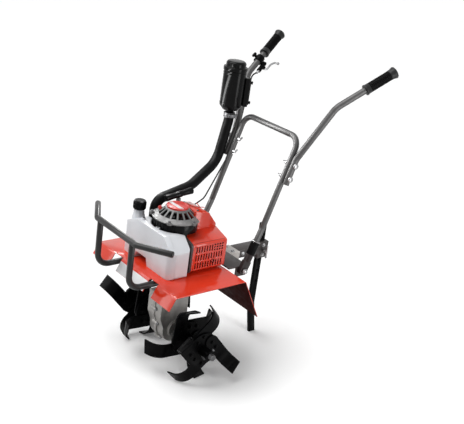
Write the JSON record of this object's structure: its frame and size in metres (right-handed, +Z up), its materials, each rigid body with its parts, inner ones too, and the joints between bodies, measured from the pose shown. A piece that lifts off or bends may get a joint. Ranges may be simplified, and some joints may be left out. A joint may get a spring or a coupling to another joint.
{
  "type": "power weeder",
  "caption": "Walk-behind two-stroke power weeder: folded sheet deck with engine, tank and bumper, gear case with tined reels below, drag stake and spread handles.",
  "frame": {"origin": "on the ground, below the middle of the machine's length and width", "axes": "+X forward towards the bumper, +Y to the operator's left along the tine shaft, +Z up"},
  "size_m": [0.8518, 0.6018, 1.0794],
  "materials": {
    "red_paint": "gloss paint",
    "red_plastic": "gloss",
    "grey_paint": "satin metallic paint",
    "dark_paint": "satin paint",
    "black_paint": "gloss paint",
    "cast_aluminium": "cast",
    "bare_steel": "zinc plated",
    "grey_plastic": "satin",
    "black_plastic": "gloss",
    "black_rubber": "matte",
    "tank_plastic": "translucent milky plastic"
  },
  "bodies": {
    "chassis": {"deck": "red_paint", "bumper_bar": "grey_paint", "bumper_upright_left": "grey_paint", "bumper_upright_right": "grey_paint", "drive_tube": "cast_aluminium", "gear_case_left": "cast_aluminium", "gear_case_right": "cast_aluminium", "clutch_housing": "cast_aluminium", "crankcase": "cast_aluminium", "fan_housing": "black_plastic", "recoil_cover": "grey_plastic", "recoil_cap": "red_plastic", "recoil_grip": "black_plastic", "cylinder_cover": "red_paint", "muffler_cover": "red_paint", "muffler": "bare_steel", "heat_shield": "dark_paint", "fuel_tank": "tank_plastic", "fuel_cap": "black_plastic", "carburettor": "cast_aluminium", "intake_hose": "black_rubber", "hose_clamp": "bare_steel", "air_cleaner": "black_plastic", "air_cleaner_lid": "black_plastic", "air_cleaner_bracket": "black_paint", "rear_bracket": "dark_paint", "hitch_block": "cast_aluminium", "hitch_channel": "dark_paint", "stake_holder": "dark_paint", "stake_screw": "bare_steel", "arm_left": "dark_paint", "arm_right": "dark_paint", "handle_frame": "grey_paint", "handle_left": "grey_paint", "handle_right": "grey_paint", "grip_left": "black_rubber", "grip_right": "black_rubber", "handle_bolts": "bare_steel", "throttle_bracket": "black_paint", "throttle_lever": "bare_steel", "throttle_cable": "black_rubber"},
    "tines": {"tine_shaft": "bare_steel", "tine_wheel_left_inner": "black_paint", "tine_wheel_left_outer": "black_paint", "tine_wheel_right_inner": "black_paint", "tine_wheel_right_outer": "black_paint"},
    "stake": {"stake": "black_paint"}
  },
  "joints": [
    {"name": "tine_turn", "type": "hinge", "parent": "chassis", "child": "tines", "pos_m": [0.16794, 0, 0.13027], "axis": [0, 1, 0], "continuous": true},
    {"name": "stake_slide", "type": "slide", "parent": "chassis", "child": "stake", "axis": [0, 0, 1], "range_m": [-0.086, 0.172]}
  ]
}
